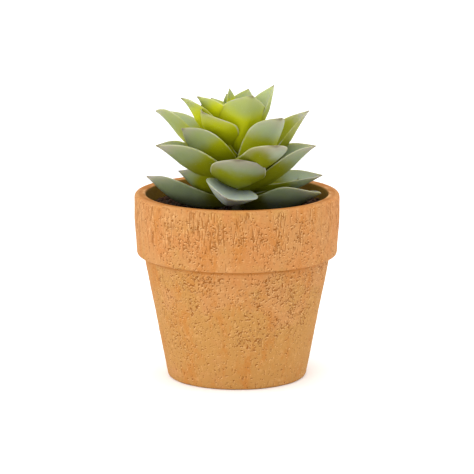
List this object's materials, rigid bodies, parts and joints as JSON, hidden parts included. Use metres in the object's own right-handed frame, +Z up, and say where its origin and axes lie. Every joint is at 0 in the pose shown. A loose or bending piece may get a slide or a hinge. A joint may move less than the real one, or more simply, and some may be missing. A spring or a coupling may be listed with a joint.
{
  "type": "potted sedum",
  "caption": "Small collared clay pot filled with soil, holding a leafy succulent rosette of thick pointed blue-green leaves with lime-green bases.",
  "frame": {"origin": "centre of the pot's base, on the pot's axis, at the level that it stands on", "axes": "+Z up along the pot's axis, -Y towards the plant's front, +X to the right seen from the front"},
  "size_m": [0.065, 0.065, 0.0925],
  "materials": {
    "clay": "matt fired clay, pitted and lightly streaked",
    "soil": "loose dark crumbs",
    "leaf": "waxy satin, blue-green tips and lime bases"
  },
  "bodies": {
    "root": {"pot": "clay", "soil": "soil", "rosette": "leaf"}
  },
  "joints": []
}
